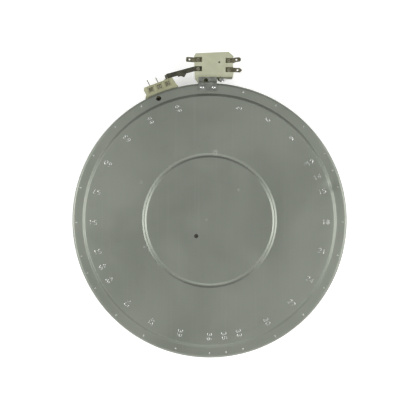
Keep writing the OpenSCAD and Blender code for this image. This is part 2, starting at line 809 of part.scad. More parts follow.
module limiter_housing() color(ceramic) difference() {
    union() {
        translate([0, 0, housing_low]) linear_extrude(head_top - housing_low) head_outline();
        translate([0, 0, housing_low]) linear_extrude(bracket_low - housing_low) nose_outline();
    }
    translate([-head_left - 1, head_y, 0])
        along_x(head_left + head_right + 2)
            polygon([[-1, head_top - bevel_z - 1], [bevel_y + 1, head_top + 1], [-1, head_top + 1]]);
    translate([bracket_x - slot_gap, head_y - 1, bracket_low])
        cube([bracket_w + 2 * slot_gap, bracket_tongue + 1 + slot_gap, bracket_t + slot_gap]);
    translate([bracket_hole_x, pan_r + bracket_hole_out, bracket_low - bracket_hole_depth])
        cylinder(d = bracket_hole_d - blind_hole_less, h = bracket_hole_depth + 1);
    for (y = [left_near, left_far])
        translate([-head_left - 1, head_y + y - recess_w / 2, recess_z])
            cube([left_recess_x + head_left + 1, recess_w, head_top]);
    for (y = [left_near, left_far])
        translate([right_recess_x, head_y + y - right_drop - recess_w / 2, recess_z])
            cube([recess_l + 2, recess_w, head_top]);
    for (at = tab_rivet_at)
        translate([at[0], head_y + at[1], chamber_top - 1])
            cylinder(d = rivet_d + 2 * hole_gap, h = head_top);
    translate([-chamber_left, head_y + chamber_near, housing_low - 1])
        cube([chamber_left + chamber_right, chamber_far - chamber_near, chamber_top - housing_low + 1]);
    translate([vent_x, head_y + vent_y, chamber_top - 1]) cylinder(d = vent_d, h = head_top);
    translate([0, 0, probe_z]) {
        bar_y(tube_d / 2 + probe_gap, pan_r, head_y + tube_seat);
        bar_y(rod_d / 2 + probe_gap, pan_r, head_y + chamber_near + 1);
    }
    translate([screw_x, 0, screw_z]) bar_y(screw_d / 2 + hole_gap, pan_r, head_y + chamber_near + 1);
    cover_screw_holes(cover_screw_sunk + cover_screw_l + 2 * hole_gap);
}

// Holes for the cover's screws, from the cover inwards
module cover_screw_holes(depth) {
    for (at = cover_screw_at)
        translate([at[0], head_y + at[1], cover_low])
            cylinder(d = cover_screw_d + 2 * hole_gap, h = depth);
}

module limiter_cover() color(ceramic) difference() {
    translate([0, 0, cover_low]) linear_extrude(cover_t) head_outline();
    cover_screw_holes(cover_t + 1);
    for (at = cover_screw_at)
        translate([at[0], head_y + at[1], cover_low - 1])
            cylinder(d = cover_screw_head_d + 4 * hole_gap, h = 1 + cover_screw_sunk + cover_screw_head_h);
}

module cover_screws() color(bright_steel)
    for (at = cover_screw_at)
        translate([at[0], head_y + at[1], cover_low]) difference() {
            union() {
                translate([0, 0, cover_screw_sunk]) cylinder(d = cover_screw_head_d, h = cover_screw_head_h);
                translate([0, 0, cover_screw_sunk + eps]) cylinder(d = cover_screw_d, h = cover_screw_l);
            }
            translate([-cover_screw_head_d, -cover_slot_w / 2, -1])
                cube([2 * cover_screw_head_d, cover_slot_w, 1 + cover_screw_sunk + cover_slot_depth]);
        }

// A flat tab that starts at the base of its recess, with a tip drawn at its end by the children
module tab(path, w) color(dark_steel)
    translate([0, 0, recess_z])
        linear_extrude(blade_t) {
            end = path[len(path) - 1];
            way = end - path[len(path) - 2];
            turn = atan2(way[1], way[0]);
            difference() {
                union() {
                    polygon(strip(path, -w / 2, w / 2));
                    translate(end) rotate(turn) children();
                }
                translate(end) rotate(turn) translate([-tab_hole_in, 0]) circle(d = tab_hole_d);
                for (at = tab_rivet_at)
                    translate([at[0], head_y + at[1]]) circle(d = rivet_d + 2 * hole_gap);
            }
        }

// The tips of the tabs: square with broken corners, round, and pointed
module square_tip(w) translate([-eps, 0])
    polygon([[0, -w / 2], [0.3, -w / 2], [0.9, 0.6 - w / 2], [0.9, w / 2 - 0.6], [0.3, w / 2], [0, w / 2]]);

module round_tip(w) circle(d = w);

module pointed_tip(w) translate([-eps, 0])
    polygon([[0, -w / 2], [1.5, -w / 5], [2.1, 0], [1.5, w / 5], [0, w / 2]]);

module tab_supply() tab([
    [left_recess_x - slot_gap, head_y + left_far],
    [-head_left, head_y + left_far],
    [1 - head_left - tab_l, head_y + left_far + 0.6],
], tab_w) square_tip(tab_w);

module tab_signal_far() tab([
    [right_recess_x + slot_gap, head_y + left_far - right_drop],
    [head_right + 0.2, head_y + left_far - right_drop],
    [head_right + 1.9, head_y + left_far - right_drop + 1],
    [head_right + tab_l - 2.7, head_y + left_far - right_drop + 1.3],
], signal_tab_w) round_tip(signal_tab_w);

module tab_signal_near() tab([
    [right_recess_x + slot_gap, head_y + left_near - right_drop],
    [head_right + 0.4, head_y + left_near - right_drop],
    [head_right + tab_l - 1.6, head_y + left_near - right_drop - 0.3],
], signal_tab_w) pointed_tip(signal_tab_w);

module tab_rivets() color(bright_steel)
    for (i = [0 : 3])
        translate([tab_rivet_at[i][0], head_y + tab_rivet_at[i][1], 0])
            rivet(recess_z + blade_t, chamber_top - (i % 2 == 0 ? leaf_t : contact_t));

// A spring or a fixed contact: a foot under the chamber's roof, bent down into a plate across the chamber.
// from and to are the foot's ends along X, tip the plate's free end, near and far the foot's edges
module bent_contact(from, to, tip, near, far, bend_at_far, t, tip_low, tip_high) difference() {
    foot_end = bend_at_far ? near : far;
    bend = bend_at_far ? far : near;
    path = [[foot_end, chamber_top, 0], [bend, chamber_top, 1.2 * t], [bend, leaf_low, 0]];
    union() {
        translate([min(from, to), head_y, 0])
            along_x(abs(to - from)) polygon(strip(rounded(path), 0, bend_at_far ? -t : t));
        translate([0, head_y + (bend_at_far ? far - t : near), 0])
            along_y(t)
                polygon([[to, leaf_low], [tip, tip_low], [tip, tip_high], [to, chamber_top - 3 * t]]);
    }
    for (at = tab_rivet_at)
        translate([at[0], head_y + at[1], 0]) cylinder(d = rivet_d + 2 * hole_gap, h = head_top);
}

module power_leaf() color(dark_steel)
    bent_contact(-foot_end_left, -foot_end_left + foot_w, -leaf_tip, left_near - foot_reach,
        leaf_at + leaf_t, true, leaf_t, probe_z - leaf_below, probe_z + leaf_above);

module signal_leaf() color(dark_steel)
    bent_contact(foot_end_right, foot_end_right - foot_w, leaf_tip, left_near - right_drop - foot_reach,
        leaf_at + leaf_t, true, leaf_t, probe_z - leaf_below, probe_z + leaf_above);

module power_contact() color(dark_steel)
    bent_contact(-foot_end_left, -foot_end_left + foot_w, contact_reach - button_x, contact_at,
        left_far + foot_reach, false, contact_t, button_z - contact_reach, button_z + contact_above);

module signal_contact() color(dark_steel)
    bent_contact(foot_end_right, foot_end_right - foot_w, button_x - contact_reach, contact_at,
        left_far - right_drop + foot_reach, false, contact_t, button_z - contact_reach,
        button_z + contact_above);

module contact_buttons() color(silver)
    for (x = [-button_x, button_x], y = [leaf_at + leaf_t, contact_at - button_t])
        translate([x, head_y, button_z]) bar_y(button_d / 2, y, y + button_t);

module probe_tube() color(quartz) translate([0, 0, probe_z]) difference() {
    bar_y(tube_d / 2, -tube_end, head_y + tube_seat - touch_gap);
    bar_y(tube_bore / 2, -tube_end - 1, head_y + tube_seat + 1);
}

module probe_rod() color(bright_steel) translate([0, 0, probe_z]) union() {
    bar_y(rod_d / 2, -tube_end - cap_t, head_y + leaf_at - touch_gap);
    bar_y(rod_d / 2 + rod_head_t, -tube_end - cap_t - rod_head_t, -tube_end - cap_t);
}

module probe_end_cap() color(steel) translate([0, 0, probe_z]) difference() {
    union() {
        bar_y(tube_d / 2, -tube_end - cap_t, -tube_end);
        bar_y(tube_bore / 2 - slot_gap, -tube_end - eps, cap_spigot - tube_end);
    }
    bar_y(rod_d / 2 + hole_gap, -tube_end - cap_t - 1, cap_spigot + 1 - tube_end);
}

module limiter_bracket() color(steel) difference() {
    intersection() {
        translate([bracket_x, 0, 0])
            along_x(bracket_w)
                polygon(strip(rounded([
                    [bracket_foot_y, bracket_top, 0],
                    [bracket_out_y, bracket_top, bracket_bend_r],
                    [bracket_out_y, bracket_low + bracket_t, bracket_bend_r],
                    [head_y + bracket_tongue, bracket_low + bracket_t, 0],
                ]), 0, -bracket_t));
        linear_extrude(bracket_top + 1)
            polygon(rounded_outline([
                [bracket_x, bracket_foot_y, 1.5],
                [bracket_x + bracket_w, bracket_foot_y, 1.5],
                [bracket_x + bracket_w, head_y + bracket_tongue, 0],
                [bracket_x, head_y + bracket_tongue, 0],
            ]));
    }
    for (x = bracket_rivet_x)
        translate([x, bracket_rivet_y, 0]) cylinder(d = rivet_d + 2 * hole_gap, h = bracket_top + 1);
    translate([bracket_hole_x, pan_r + bracket_hole_out, 0]) {
        cylinder(d = bracket_hole_d, h = bracket_top + 1);
        rotate([0, 0, notch_angle])
            translate([0, -notch_w / 2, 0])
                cube([bracket_hole_d / 2 + notch_l, notch_w, bracket_top + 1]);
    }
}

module bracket_rivets() color(bright_steel)
    for (x = bracket_rivet_x)
        translate([x, bracket_rivet_y, 0]) {
            translate([0, 0, ring_top + seat_gap - tail_t]) cylinder(d = rivet_tail_d, h = tail_t);
            translate([0, 0, ring_top]) cylinder(d = rivet_d, h = bracket_top - ring_top + eps);
            translate([0, 0, bracket_top])
                rotate_extrude()
                    polygon([[0, 0], for (a = [0 : 15 : 90]) [rivet_head_d / 2 * cos(a), dome_h * sin(a)]]);
        }

module adjusting_screw() color(bright_steel) translate([screw_x, 0, screw_z]) difference() {
    bar_y(screw_d / 2, head_y - nut_h - screw_proud, head_y + leaf_at - touch_gap);
    translate([-screw_d, head_y - nut_h - screw_proud - 1, -driver_slot_w / 2])
        cube([2 * screw_d, 1 + driver_slot_depth, driver_slot_w]);
}

module lock_nut() color(bright_steel) translate([screw_x, head_y - nut_h, screw_z]) rotate([-90, 0, 0])
    difference() {
        intersection() {
            cylinder(d = nut_af / cos(30), h = nut_h, $fn = 6);
            cylinder(r1 = nut_af / 2, r2 = nut_af / 2 + nut_h, h = nut_h);
        }
        translate([0, 0, -1]) cylinder(d = screw_d + 2 * hole_gap, h = nut_h + 2);
    }

support_pan();
insulation_base();
outer_insulation_ring();
partition_ring();
outer_ribbon();
inner_ribbon();
lead_outer();
lead_inner();
lead_common();
terminal_block();
terminal_outer();
terminal_inner();
terminal_common();
terminal_rivets();
link_strap();
limiter_housing();
limiter_cover();
cover_screws();
tab_supply();
tab_signal_far();
tab_signal_near();
tab_rivets();
power_leaf();
power_contact();
signal_leaf();
signal_contact();
contact_buttons();
probe_tube();
probe_rod();
probe_end_cap();
limiter_bracket();
bracket_rivets();
adjusting_screw();
lock_nut();
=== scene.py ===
import math

import bmesh
import bpy
from mathutils import Matrix, Vector


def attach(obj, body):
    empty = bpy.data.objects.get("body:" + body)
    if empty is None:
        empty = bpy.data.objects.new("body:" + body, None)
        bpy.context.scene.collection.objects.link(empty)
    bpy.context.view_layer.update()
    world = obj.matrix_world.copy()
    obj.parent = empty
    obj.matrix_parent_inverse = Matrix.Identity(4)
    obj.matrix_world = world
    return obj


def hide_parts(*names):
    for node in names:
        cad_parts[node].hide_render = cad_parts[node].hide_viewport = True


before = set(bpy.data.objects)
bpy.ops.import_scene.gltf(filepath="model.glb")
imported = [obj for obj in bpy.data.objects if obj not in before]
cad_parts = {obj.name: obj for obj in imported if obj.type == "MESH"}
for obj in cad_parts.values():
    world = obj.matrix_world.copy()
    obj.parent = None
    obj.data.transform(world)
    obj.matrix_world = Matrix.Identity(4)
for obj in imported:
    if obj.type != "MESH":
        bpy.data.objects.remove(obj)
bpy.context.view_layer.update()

MM = 0.001
scene = bpy.context.scene

# Sizes of the pan, in millimetres, as in the CAD source
PAN_R = 135.0
SHEET = 0.6
RIM_PROUD = 3.0
BAND_Z = 27.0
PLATE_Z = 28.8
STEP_FOOT_R = 124.6
STEP_HEAD_R = 122.1
BEAD_R = 64.0
BEAD_W = 4.3
BEAD_DEPTH = 1.1
BLOCK_ANGLE = 20.5


# Small helpers
def link(obj):
    scene.collection.objects.link(obj)
    return obj


def mesh_object(name, verts, faces, smooth_angle=35):
    mesh = bpy.data.meshes.new(name)
    mesh.from_pydata([Vector(v) * MM for v in verts], [], faces)
    mesh.update()
    obj = link(bpy.data.objects.new(name, mesh))
    smooth(obj, smooth_angle)
    return obj


def smooth(obj, angle):
    mesh = obj.data
    mesh.polygons.foreach_set("use_smooth", [True] * len(mesh.polygons))
    mesh.set_sharp_from_angle(angle=math.radians(angle))
    mesh.update()


def clean_normals(obj):
    bm = bmesh.new()
    bm.from_mesh(obj.data)
    bmesh.ops.remove_doubles(bm, verts=bm.verts, dist=1e-6)
    bmesh.ops.recalc_face_normals(bm, faces=bm.faces)
    bm.to_mesh(obj.data)
    bm.free()


def finish_piece(obj, material, slot, *replaced):
    obj.data.materials.clear()
    obj.data.materials.append(material)
    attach(obj, "root")
    if replaced:
        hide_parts(*replaced)
    return obj


def apply_modifiers(obj):
    bpy.context.view_layer.update()
    evaluated = obj.evaluated_get(bpy.context.evaluated_depsgraph_get())
    mesh = bpy.data.meshes.new_from_object(evaluated)
    obj.modifiers.clear()
    old = obj.data
    obj.data = mesh
    bpy.data.meshes.remove(old)


def cut(obj, cutters):
    joined = join(cutters, "cutters")
    modifier = obj.modifiers.new("cut", "BOOLEAN")
    modifier.operation = "DIFFERENCE"
    modifier.solver = "MANIFOLD"
    modifier.object = joined
    apply_modifiers(obj)
    bpy.data.objects.remove(joined)


def join(objects, name):
    bm = bmesh.new()
    for obj in objects:
        bm.from_mesh(obj.data)
        bpy.data.objects.remove(obj)
    mesh = bpy.data.meshes.new(name)
    bm.to_mesh(mesh)
    bm.free()
    return link(bpy.data.objects.new(name, mesh))


def cylinder(r, low, high, at=(0, 0), segments=64, axis="z"):
    """A closed cylinder in millimetres, along z, or along y with at = (x, z)."""
    ring = [(r * math.cos(2 * math.pi * k / segments), r * math.sin(2 * math.pi * k / segments)) for k in range(segments)]
    verts = []
    for h in (low, high):
        for a, b in ring:
            verts.append((at[0] + a, at[1] + b, h) if axis == "z" else (at[0] + a, h, at[1] - b))
    faces = [tuple(reversed(range(segments))), tuple(range(segments, 2 * segments))]
    faces += [(k, (k + 1) % segments, segments + (k + 1) % segments, segments + k) for k in range(segments)]
    obj = mesh_object("cutter", verts, faces)
    clean_normals(obj)
    return obj


def block(low, high, turn=0):
    """A closed box in millimetres, turned about the pan's axis."""
    x0, y0, z0 = low
    x1, y1, z1 = high
    c, s = math.cos(math.radians(turn)), math.sin(math.radians(turn))
    corners = [(x, y, z) for z in (z0, z1) for x, y in ((x0, y0), (x1, y0), (x1, y1), (x0, y1))]
    verts = [(x * c - y * s, x * s + y * c, z) for x, y, z in corners]
    faces = [(3, 2, 1, 0), (4, 5, 6, 7), (0, 1, 5, 4), (1, 2, 6, 5), (2, 3, 7, 6), (3, 0, 4, 7)]
    return mesh_object("cutter", verts, faces)


# Procedural materials
class Shader:
    """A Principled material whose textures follow the object's own coordinates."""

    def __init__(self, name, **constants):
        self.material = bpy.data.materials.new(name)
        self.material.use_nodes = True
        self.tree = self.material.node_tree
        self.bsdf = self.tree.nodes["Principled BSDF"]
        for socket, value in constants.items():
            self.bsdf.inputs[socket.replace("_", " ")].default_value = value
        self.place = self.node("ShaderNodeTexCoord").outputs["Object"]
        self.height = None

    def node(self, kind, **inputs):
        made = self.tree.nodes.new(kind)
        for key, value in inputs.items():
            self.feed(made.inputs[key.replace("_", " ")], value)
        return made

    def feed(self, socket, value):
        if isinstance(value, bpy.types.NodeSocket):
            self.tree.links.new(value, socket)
        else:
            socket.default_value = value

    def stretched(self, x, y, z, turn=0):
        mapping = self.node("ShaderNodeMapping", Vector=self.place)
        mapping.inputs["Scale"].default_value = (x, y, z)
        mapping.inputs["Rotation"].default_value = (0, 0, math.radians(turn))
        return mapping.outputs[0]

    def noise(self, scale, detail=3, rough=0.55, vector=None, distortion=0):
        made = self.node("ShaderNodeTexNoise", Vector=vector or self.place, Scale=scale, Detail=detail, Roughness=rough)
        made.inputs["Distortion"].default_value = distortion
        return made.outputs["Fac"]

    def cells(self, scale, vector=None):
        return self.node("ShaderNodeTexVoronoi", Vector=vector or self.place, Scale=scale).outputs["Distance"]

    def fit(self, value, low, high, to_low=0.0, to_high=1.0):
        made = self.node("ShaderNodeMapRange", Value=value)
        made.interpolation_type = "SMOOTHSTEP"
        for key, number in (("From Min", low), ("From Max", high), ("To Min", to_low), ("To Max", to_high)):
            made.inputs[key].default_value = number
        return made.outputs["Result"]

    def math(self, operation, a, b=0.0):
        made = self.node("ShaderNodeMath")
        made.operation = operation
        self.feed(made.inputs[0], a)
        self.feed(made.inputs[1], b)
        return made.outputs[0]

    def mix(self, factor, a, b, blend="MIX"):
        made = self.node("ShaderNodeMix")
        made.data_type = "RGBA"
        made.blend_type = blend
        self.feed(made.inputs["Factor"], factor)
        self.feed(made.inputs["A"], rgba(a))
        self.feed(made.inputs["B"], rgba(b))
        return made.outputs["Result"]

    def spot(self, x, y, reach, soft=1.0):
        """1 near a place of the pan, in millimetres, falling to 0 at reach."""
        away = self.node("ShaderNodeVectorMath")
        away.operation = "DISTANCE"
        self.feed(away.inputs[0], self.flat())
        away.inputs[1].default_value = (x * MM, y * MM, 0)
        return self.fit(away.outputs["Value"], reach * MM * (1 - soft), reach * MM, 1.0, 0.0)

    def flat(self):
        made = self.node("ShaderNodeVectorMath")
        made.operation = "MULTIPLY"
        self.feed(made.inputs[0], self.place)
        made.inputs[1].default_value = (1, 1, 0)
        return made.outputs[0]

    def bump(self, height, strength, distance):
        made = self.node("ShaderNodeBump", Height=height, Strength=strength, Distance=distance)
        if self.height is not None:
            self.tree.links.new(self.height, made.inputs["Normal"])
        self.height = made.outputs[0]
        self.tree.links.new(self.height, self.bsdf.inputs["Normal"])

    def color(self, value):
        self.feed(self.bsdf.inputs["Base Color"], rgba(value))

    def rough(self, value):
        self.feed(self.bsdf.inputs["Roughness"], value)


def rgba(value):
    return (*value, 1.0) if isinstance(value, tuple) and len(value) == 3 else value


def plated_steel():
    s = Shader("plated_steel", Metallic=1.0)
    cloud = s.noise(9, 3, 0.6, distortion=0.4)
    streak = s.noise(1, 4, 0.6, s.stretched(520, 9, 40, 4))
    grain = s.noise(900, 2, 0.5)
    colour = s.mix(s.fit(cloud, 0.3, 0.7), (0.295, 0.318, 0.274), (0.335, 0.357, 0.310))
    colour = s.mix(s.math("MULTIPLY", s.fit(streak, 0.5, 0.85), 0.22), colour, (0.42, 0.44, 0.395))
    # Lighter, rougher patches at six listed places, two of them on the dents: the colour is mixed towards a pale tone
    # and the roughness raised inside a noise mask
    marks = None
    for x, y, reach in ((5, 67, 4.5), (-67, 38, 3), (95, 55, 3.5), (-64, -26, 2), (29, 30, 2.2), (-3, 1, 2)):
        mark = s.spot(x, y, reach)
        marks = mark if marks is None else s.math("MAXIMUM", marks, mark)
    pale_patches = s.math("MULTIPLY", marks, s.fit(s.noise(260, 4, 0.7), 0.45, 0.65))
    colour = s.mix(s.math("MULTIPLY", pale_patches, 0.55), colour, (0.72, 0.74, 0.69))
    stain = s.fit(s.noise(24, 4, 0.65, distortion=1.2), 0.6, 0.78)
    colour = s.mix(s.math("MULTIPLY", stain, 0.25), colour, (0.25, 0.265, 0.22))
    s.color(colour)
    rough = s.fit(cloud, 0.3, 0.7, 0.42, 0.48)
    rough = s.math("ADD", rough, s.math("MULTIPLY", grain, 0.08))
    rough = s.math("ADD", rough, s.math("MULTIPLY", pale_patches, 0.12))
    s.rough(rough)
    s.bump(s.noise(14, 2, 0.5), 0.25, 0.0006)
    s.bump(grain, 0.12, 0.00006)
    s.bump(streak, 0.05, 0.00005)
    return s.material


def strip_metal(name, dark, light, rough, scale=300, metallic=1.0):
    s = Shader(name, Metallic=metallic)
    cloud = s.noise(scale, 4, 0.6, distortion=0.6)
    fine = s.noise(scale * 8, 2, 0.5)
    s.color(s.mix(s.fit(cloud, 0.35, 0.65), dark, light))
    s.rough(s.math("ADD", s.fit(cloud, 0.3, 0.7, rough - 0.08, rough + 0.08), s.math("MULTIPLY", fine, 0.06)))
    s.bump(cloud, 0.2, 0.00008)
    s.bump(fine, 0.15, 0.00003)
    return s.material


def ceramic(name, pale, dark, stain):
    s = Shader(name, Metallic=0.0)
    cloud = s.noise(110, 4, 0.6)
    speck = s.cells(1600)
    grain = s.noise(2200, 3, 0.6)
    colour = s.mix(s.fit(cloud, 0.35, 0.65), dark, pale)
    colour = s.mix(s.math("MULTIPLY", s.fit(speck, 0.0, 0.18, 1.0, 0.0), 0.25), colour, stain)
    dirt = s.fit(s.noise(70, 5, 0.7, distortion=0.8), 0.58, 0.75)
    colour = s.mix(s.math("MULTIPLY", dirt, 0.3), colour, stain)
    s.color(colour)
    s.rough(s.fit(grain, 0.3, 0.7, 0.58, 0.74))
    s.bump(grain, 0.25, 0.00008)
    s.bump(cloud, 0.15, 0.0002)
    return s.material


def insulation(name, pale, dark, scale, depth):
    s = Shader(name, Metallic=0.0)
    lumps = s.noise(scale, 5, 0.65)
    flakes = s.cells(scale * 2.2)
    s.color(s.mix(s.fit(lumps, 0.35, 0.65), dark, pale))
    s.rough(s.fit(lumps, 0.3, 0.7, 0.86, 0.96))
    s.bump(lumps, 0.5, depth)
    s.bump(flakes, 0.3, depth * 0.6)
    return s.material


def quartz():
    s = Shader("quartz", Metallic=0.0, IOR=1.46)
    s.bsdf.inputs["Transmission Weight"].default_value = 1.0
    s.color(s.mix(s.fit(s.noise(60, 2), 0.3, 0.7), (0.93, 0.95, 0.95), (0.97, 0.98, 0.98)))
    s.rough(s.fit(s.noise(90, 2), 0.3, 0.7, 0.03, 0.09))
    s.bump(s.noise(140, 2), 0.05, 0.00005)
    return s.material


STEEL = plated_steel()
# The stamped digits' metal is partly fresh metal at the stamping and partly a painted highlight: it is far paler than
# the plate, to stand in for the light their edges catch
DIGIT_METAL_AND_SHEEN = strip_metal("digit_metal_and_painted_sheen", (0.62, 0.64, 0.60), (0.80, 0.81, 0.78), 0.30)
BRACKET = strip_metal("bracket_steel", (0.30, 0.32, 0.28), (0.38, 0.40, 0.36), 0.36)
TERMINAL = strip_metal("terminal_metal", (0.15, 0.15, 0.09), (0.27, 0.25, 0.17), 0.42)
STRAP = strip_metal("strap_metal", (0.085, 0.085, 0.065), (0.14, 0.135, 0.10), 0.5)
RIVET = strip_metal("rivet_metal", (0.34, 0.33, 0.22), (0.52, 0.50, 0.38), 0.34)
SCREW = strip_metal("screw_metal", (0.55, 0.56, 0.55), (0.72, 0.72, 0.71), 0.24)
SPRING = strip_metal("spring_metal", (0.45, 0.42, 0.34), (0.60, 0.57, 0.48), 0.30)
SILVER = strip_metal("contact_silver", (0.70, 0.70, 0.70), (0.82, 0.82, 0.82), 0.24)
ROD = strip_metal("rod_metal", (0.42, 0.40, 0.36), (0.56, 0.53, 0.48), 0.34)
RIBBON = strip_metal("ribbon_alloy", (0.09, 0.08, 0.075), (0.19, 0.17, 0.155), 0.48)
LEAD = strip_metal("lead_alloy", (0.22, 0.20, 0.17), (0.34, 0.32, 0.28), 0.42)
CERAMIC = ceramic("ceramic_body", (0.50, 0.51, 0.365), (0.45, 0.46, 0.32), (0.27, 0.26, 0.15))
BLOCK_CERAMIC = ceramic("block_ceramic", (0.40, 0.40, 0.26), (0.35, 0.35, 0.215), (0.22, 0.21, 0.11))
BOARD = insulation("base_board", (0.66, 0.65, 0.60), (0.55, 0.54, 0.49), 260, 0.0004)
FIBRE = insulation("ring_fibre", (0.76, 0.74, 0.68), (0.62, 0.58, 0.50), 420, 0.0005)
QUARTZ = quartz()

CAD_LOOKS = {
    "support_pan": STEEL,
    "insulation_base": BOARD,
    "outer_insulation_ring": FIBRE,
    "partition_ring": FIBRE,
    "outer_ribbon": RIBBON,
    "inner_ribbon": RIBBON,
    "lead_outer": LEAD,
    "lead_inner": LEAD,
    "lead_common": LEAD,
    "terminal_block": BLOCK_CERAMIC,
    "terminal_outer": TERMINAL,
    "terminal_inner": TERMINAL,
    "terminal_common": TERMINAL,
    "terminal_rivets": RIVET,
    "link_strap": STRAP,
    "limiter_housing": CERAMIC,
    "limiter_cover": CERAMIC,
    "cover_screws": SCREW,
    "tab_supply": TERMINAL,
    "tab_signal_far": TERMINAL,
    "tab_signal_near": TERMINAL,
    "tab_rivets": RIVET,
    "power_leaf": SPRING,
    "power_contact": SPRING,
    "signal_leaf": SPRING,
    "signal_contact": SPRING,
    "contact_buttons": SILVER,
    "probe_tube": QUARTZ,
    "probe_rod": ROD,
    "probe_end_cap": ROD,
    "limiter_bracket": BRACKET,
    "bracket_rivets": SCREW,
    "adjusting_screw": SCREW,
    "lock_nut": SCREW,
}
for node, material in CAD_LOOKS.items():
    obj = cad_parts[node]
    obj.data.materials.clear()
    obj.data.materials.append(material)


# The pan: its profile turned round the axis, with the same roundings as the CAD solid but finer
def arc_points(before, corner, after, radius, steps):
    at = Vector(corner)
    u = (Vector(before) - at).normalized()
    w = (Vector(after) - at).normalized()
    half = u.angle(w) / 2
    centre = at + (u + w).normalized() * radius / math.sin(half)
    start = at + u * radius / math.tan(half) - centre
    end = at + w * radius / math.tan(half) - centre
    a0 = math.atan2(start.y, start.x)
    sweep = (math.atan2(end.y, end.x) - a0 + 3 * math.pi) % (2 * math.pi) - math.pi
    return [centre + Vector((math.cos(a0 + sweep * k / steps), math.sin(a0 + sweep * k / steps))) * radius for k in range(steps + 1)]


def pan_profile():
    corners = [
        (PAN_R, RIM_PROUD, 0, 0),
        (PAN_R, BAND_Z, 2.5, 12),
        (STEP_FOOT_R, BAND_Z, 1.0, 6),
        (STEP_HEAD_R, PLATE_Z, 0.9, 6),
        (BEAD_R + BEAD_W / 2, PLATE_Z, 1.2, 6),
        (BEAD_R, PLATE_Z - BEAD_DEPTH, 1.4, 8),
        (BEAD_R - BEAD_W / 2, PLATE_Z, 1.2, 6),
        (0, PLATE_Z, 0, 0),
    ]
    path = []
    for i, (r, z, radius, steps) in enumerate(corners):
        if radius == 0:
            path.append(Vector((r, z)))
        else:
            path += arc_points(corners[i - 1][:2], (r, z), corners[i + 1][:2], radius, steps)
    dense = [path[0]]
    for p in path[1:]:
        gap = (p - dense[-1]).length
        start = dense[-1].copy()
        for k in range(1, int(gap // 7) + 1):
            dense.append(start.lerp(p, k / (int(gap // 7) + 1)))
        dense.append(p)
    return dense


def beside(path, distance):
    moved = []
    for i, p in enumerate(path):
        a = (path[max(i, 1)] - path[max(i, 1) - 1]).normalized()
        b = (path[min(i + 1, len(path) - 1)] - path[min(i + 1, len(path) - 1) - 1]).normalized()
        side = Vector((-a.y, a.x))
        middle = (side + Vector((-b.y, b.x))).normalized()
        moved.append(p + middle * distance / middle.dot(side))
    moved[-1].x = 0
    return moved


def revolve(path, segments):
    """Turns a closed (r, z) loop round the axis. Points on the axis become one vertex each."""
    verts, rows = [], []
    for p in path:
        if p.x < 1e-6:
            verts.append((0, 0, p.y))
            rows.append([len(verts) - 1] * segments)
            continue
        rows.append(list(range(len(verts), len(verts) + segments)))
        for k in range(segments):
            a = 2 * math.pi * k / segments
            verts.append((p.x * math.cos(a), p.x * math.sin(a), p.y))
    faces = []
    for i in range(len(rows)):
        first, second = rows[i], rows[(i + 1) % len(rows)]
        for k in range(segments):
            n = (k + 1) % segments
            face = (first[k], first[n], second[n], second[k])
            face = tuple(dict.fromkeys(face))
            if len(face) > 2:
                faces.append(face)
    return verts, faces


def make_pan():
    outer = pan_profile()
    inner = beside(outer, SHEET)
    verts, faces = revolve(outer + inner[::-1], 360)
    pan = mesh_object("pan_shell", verts, faces)
    clean_normals(pan)
    hole = math.radians(90 + 22.65)
    slot_half, slot_r = 12.0, PAN_R - SHEET - 2.5
    cutters = [
        cylinder(2.5, 20, 30, (129.9 * math.cos(hole), 129.9 * math.sin(hole))),
        cylinder(2.05, 20, 30, (-13.1, -15.3)),
        cylinder(3.2, slot_r, PAN_R + 2.5, (0, 7.4), axis="y"),
        block((-3.2, slot_r, 0), (3.2, PAN_R + 2.5, 7.4)),
        block((-slot_half, slot_r, 0), (slot_half, PAN_R + 2.5, 21.5), BLOCK_ANGLE),
    ]
    cut(pan, cutters)
    dent(pan)
    smooth(pan, 35)
    return finish_piece(pan, STEEL, "plated_steel", "support_pan")


def dent(pan):
    """The small dents that the photo shows on the step and the plate."""
    places = [(119.5, 34.5, 7, 0.5), (-67, 38, 4, 0.12), (95, 55, 5, 0.1)]
    for v in pan.data.vertices:
        for x, y, reach, depth in places:
            away = math.hypot(v.co.x / MM - x, v.co.y / MM - y) / reach
            if away < 1 and v.co.z > 20 * MM:
                v.co.z -= depth * MM * (1 - away * away) ** 2


make_pan()

# Index numbers stamped round the plate, and a tick on the band at each of them but the one at 344.5°
DIGITS = {
    "0": [[(0.0, 0.25), (0.0, 0.75), (0.2, 1), (0.4, 1), (0.6, 0.75), (0.6, 0.25), (0.4, 0), (0.2, 0), (0.0, 0.25)]],
    "1": [[(0.1, 0.75), (0.35, 1), (0.35, 0)]],
    "2": [[(0.0, 0.8), (0.2, 1), (0.45, 1), (0.6, 0.8), (0.55, 0.55), (0.0, 0), (0.6, 0)]],
    "3": [[(0.0, 0.9), (0.2, 1), (0.5, 0.95), (0.55, 0.7), (0.25, 0.53)], [(0.25, 0.53), (0.6, 0.35), (0.5, 0.05), (0.2, 0), (0.0, 0.12)]],
    "4": [[(0.5, 0), (0.5, 1), (0.0, 0.3), (0.65, 0.3)]],
    "5": [[(0.55, 1), (0.05, 1), (0.0, 0.55), (0.35, 0.6), (0.6, 0.35), (0.45, 0.03), (0.0, 0.05)]],
    "6": [[(0.5, 1), (0.15, 0.75), (0.0, 0.35), (0.15, 0), (0.45, 0), (0.6, 0.3), (0.4, 0.55), (0.02, 0.4)]],
    "7": [[(0.0, 1), (0.6, 1), (0.2, 0)]],
    "8": [[(0.3, 0.53), (0.05, 0.75), (0.2, 1), (0.42, 1), (0.55, 0.75), (0.3, 0.53), (0.0, 0.25), (0.2, 0), (0.42, 0), (0.6, 0.25), (0.3, 0.53)]],
    "9": [[(0.1, 0), (0.45, 0.25), (0.6, 0.65), (0.45, 1), (0.15, 1), (0.0, 0.7), (0.2, 0.45), (0.58, 0.6)]],
}
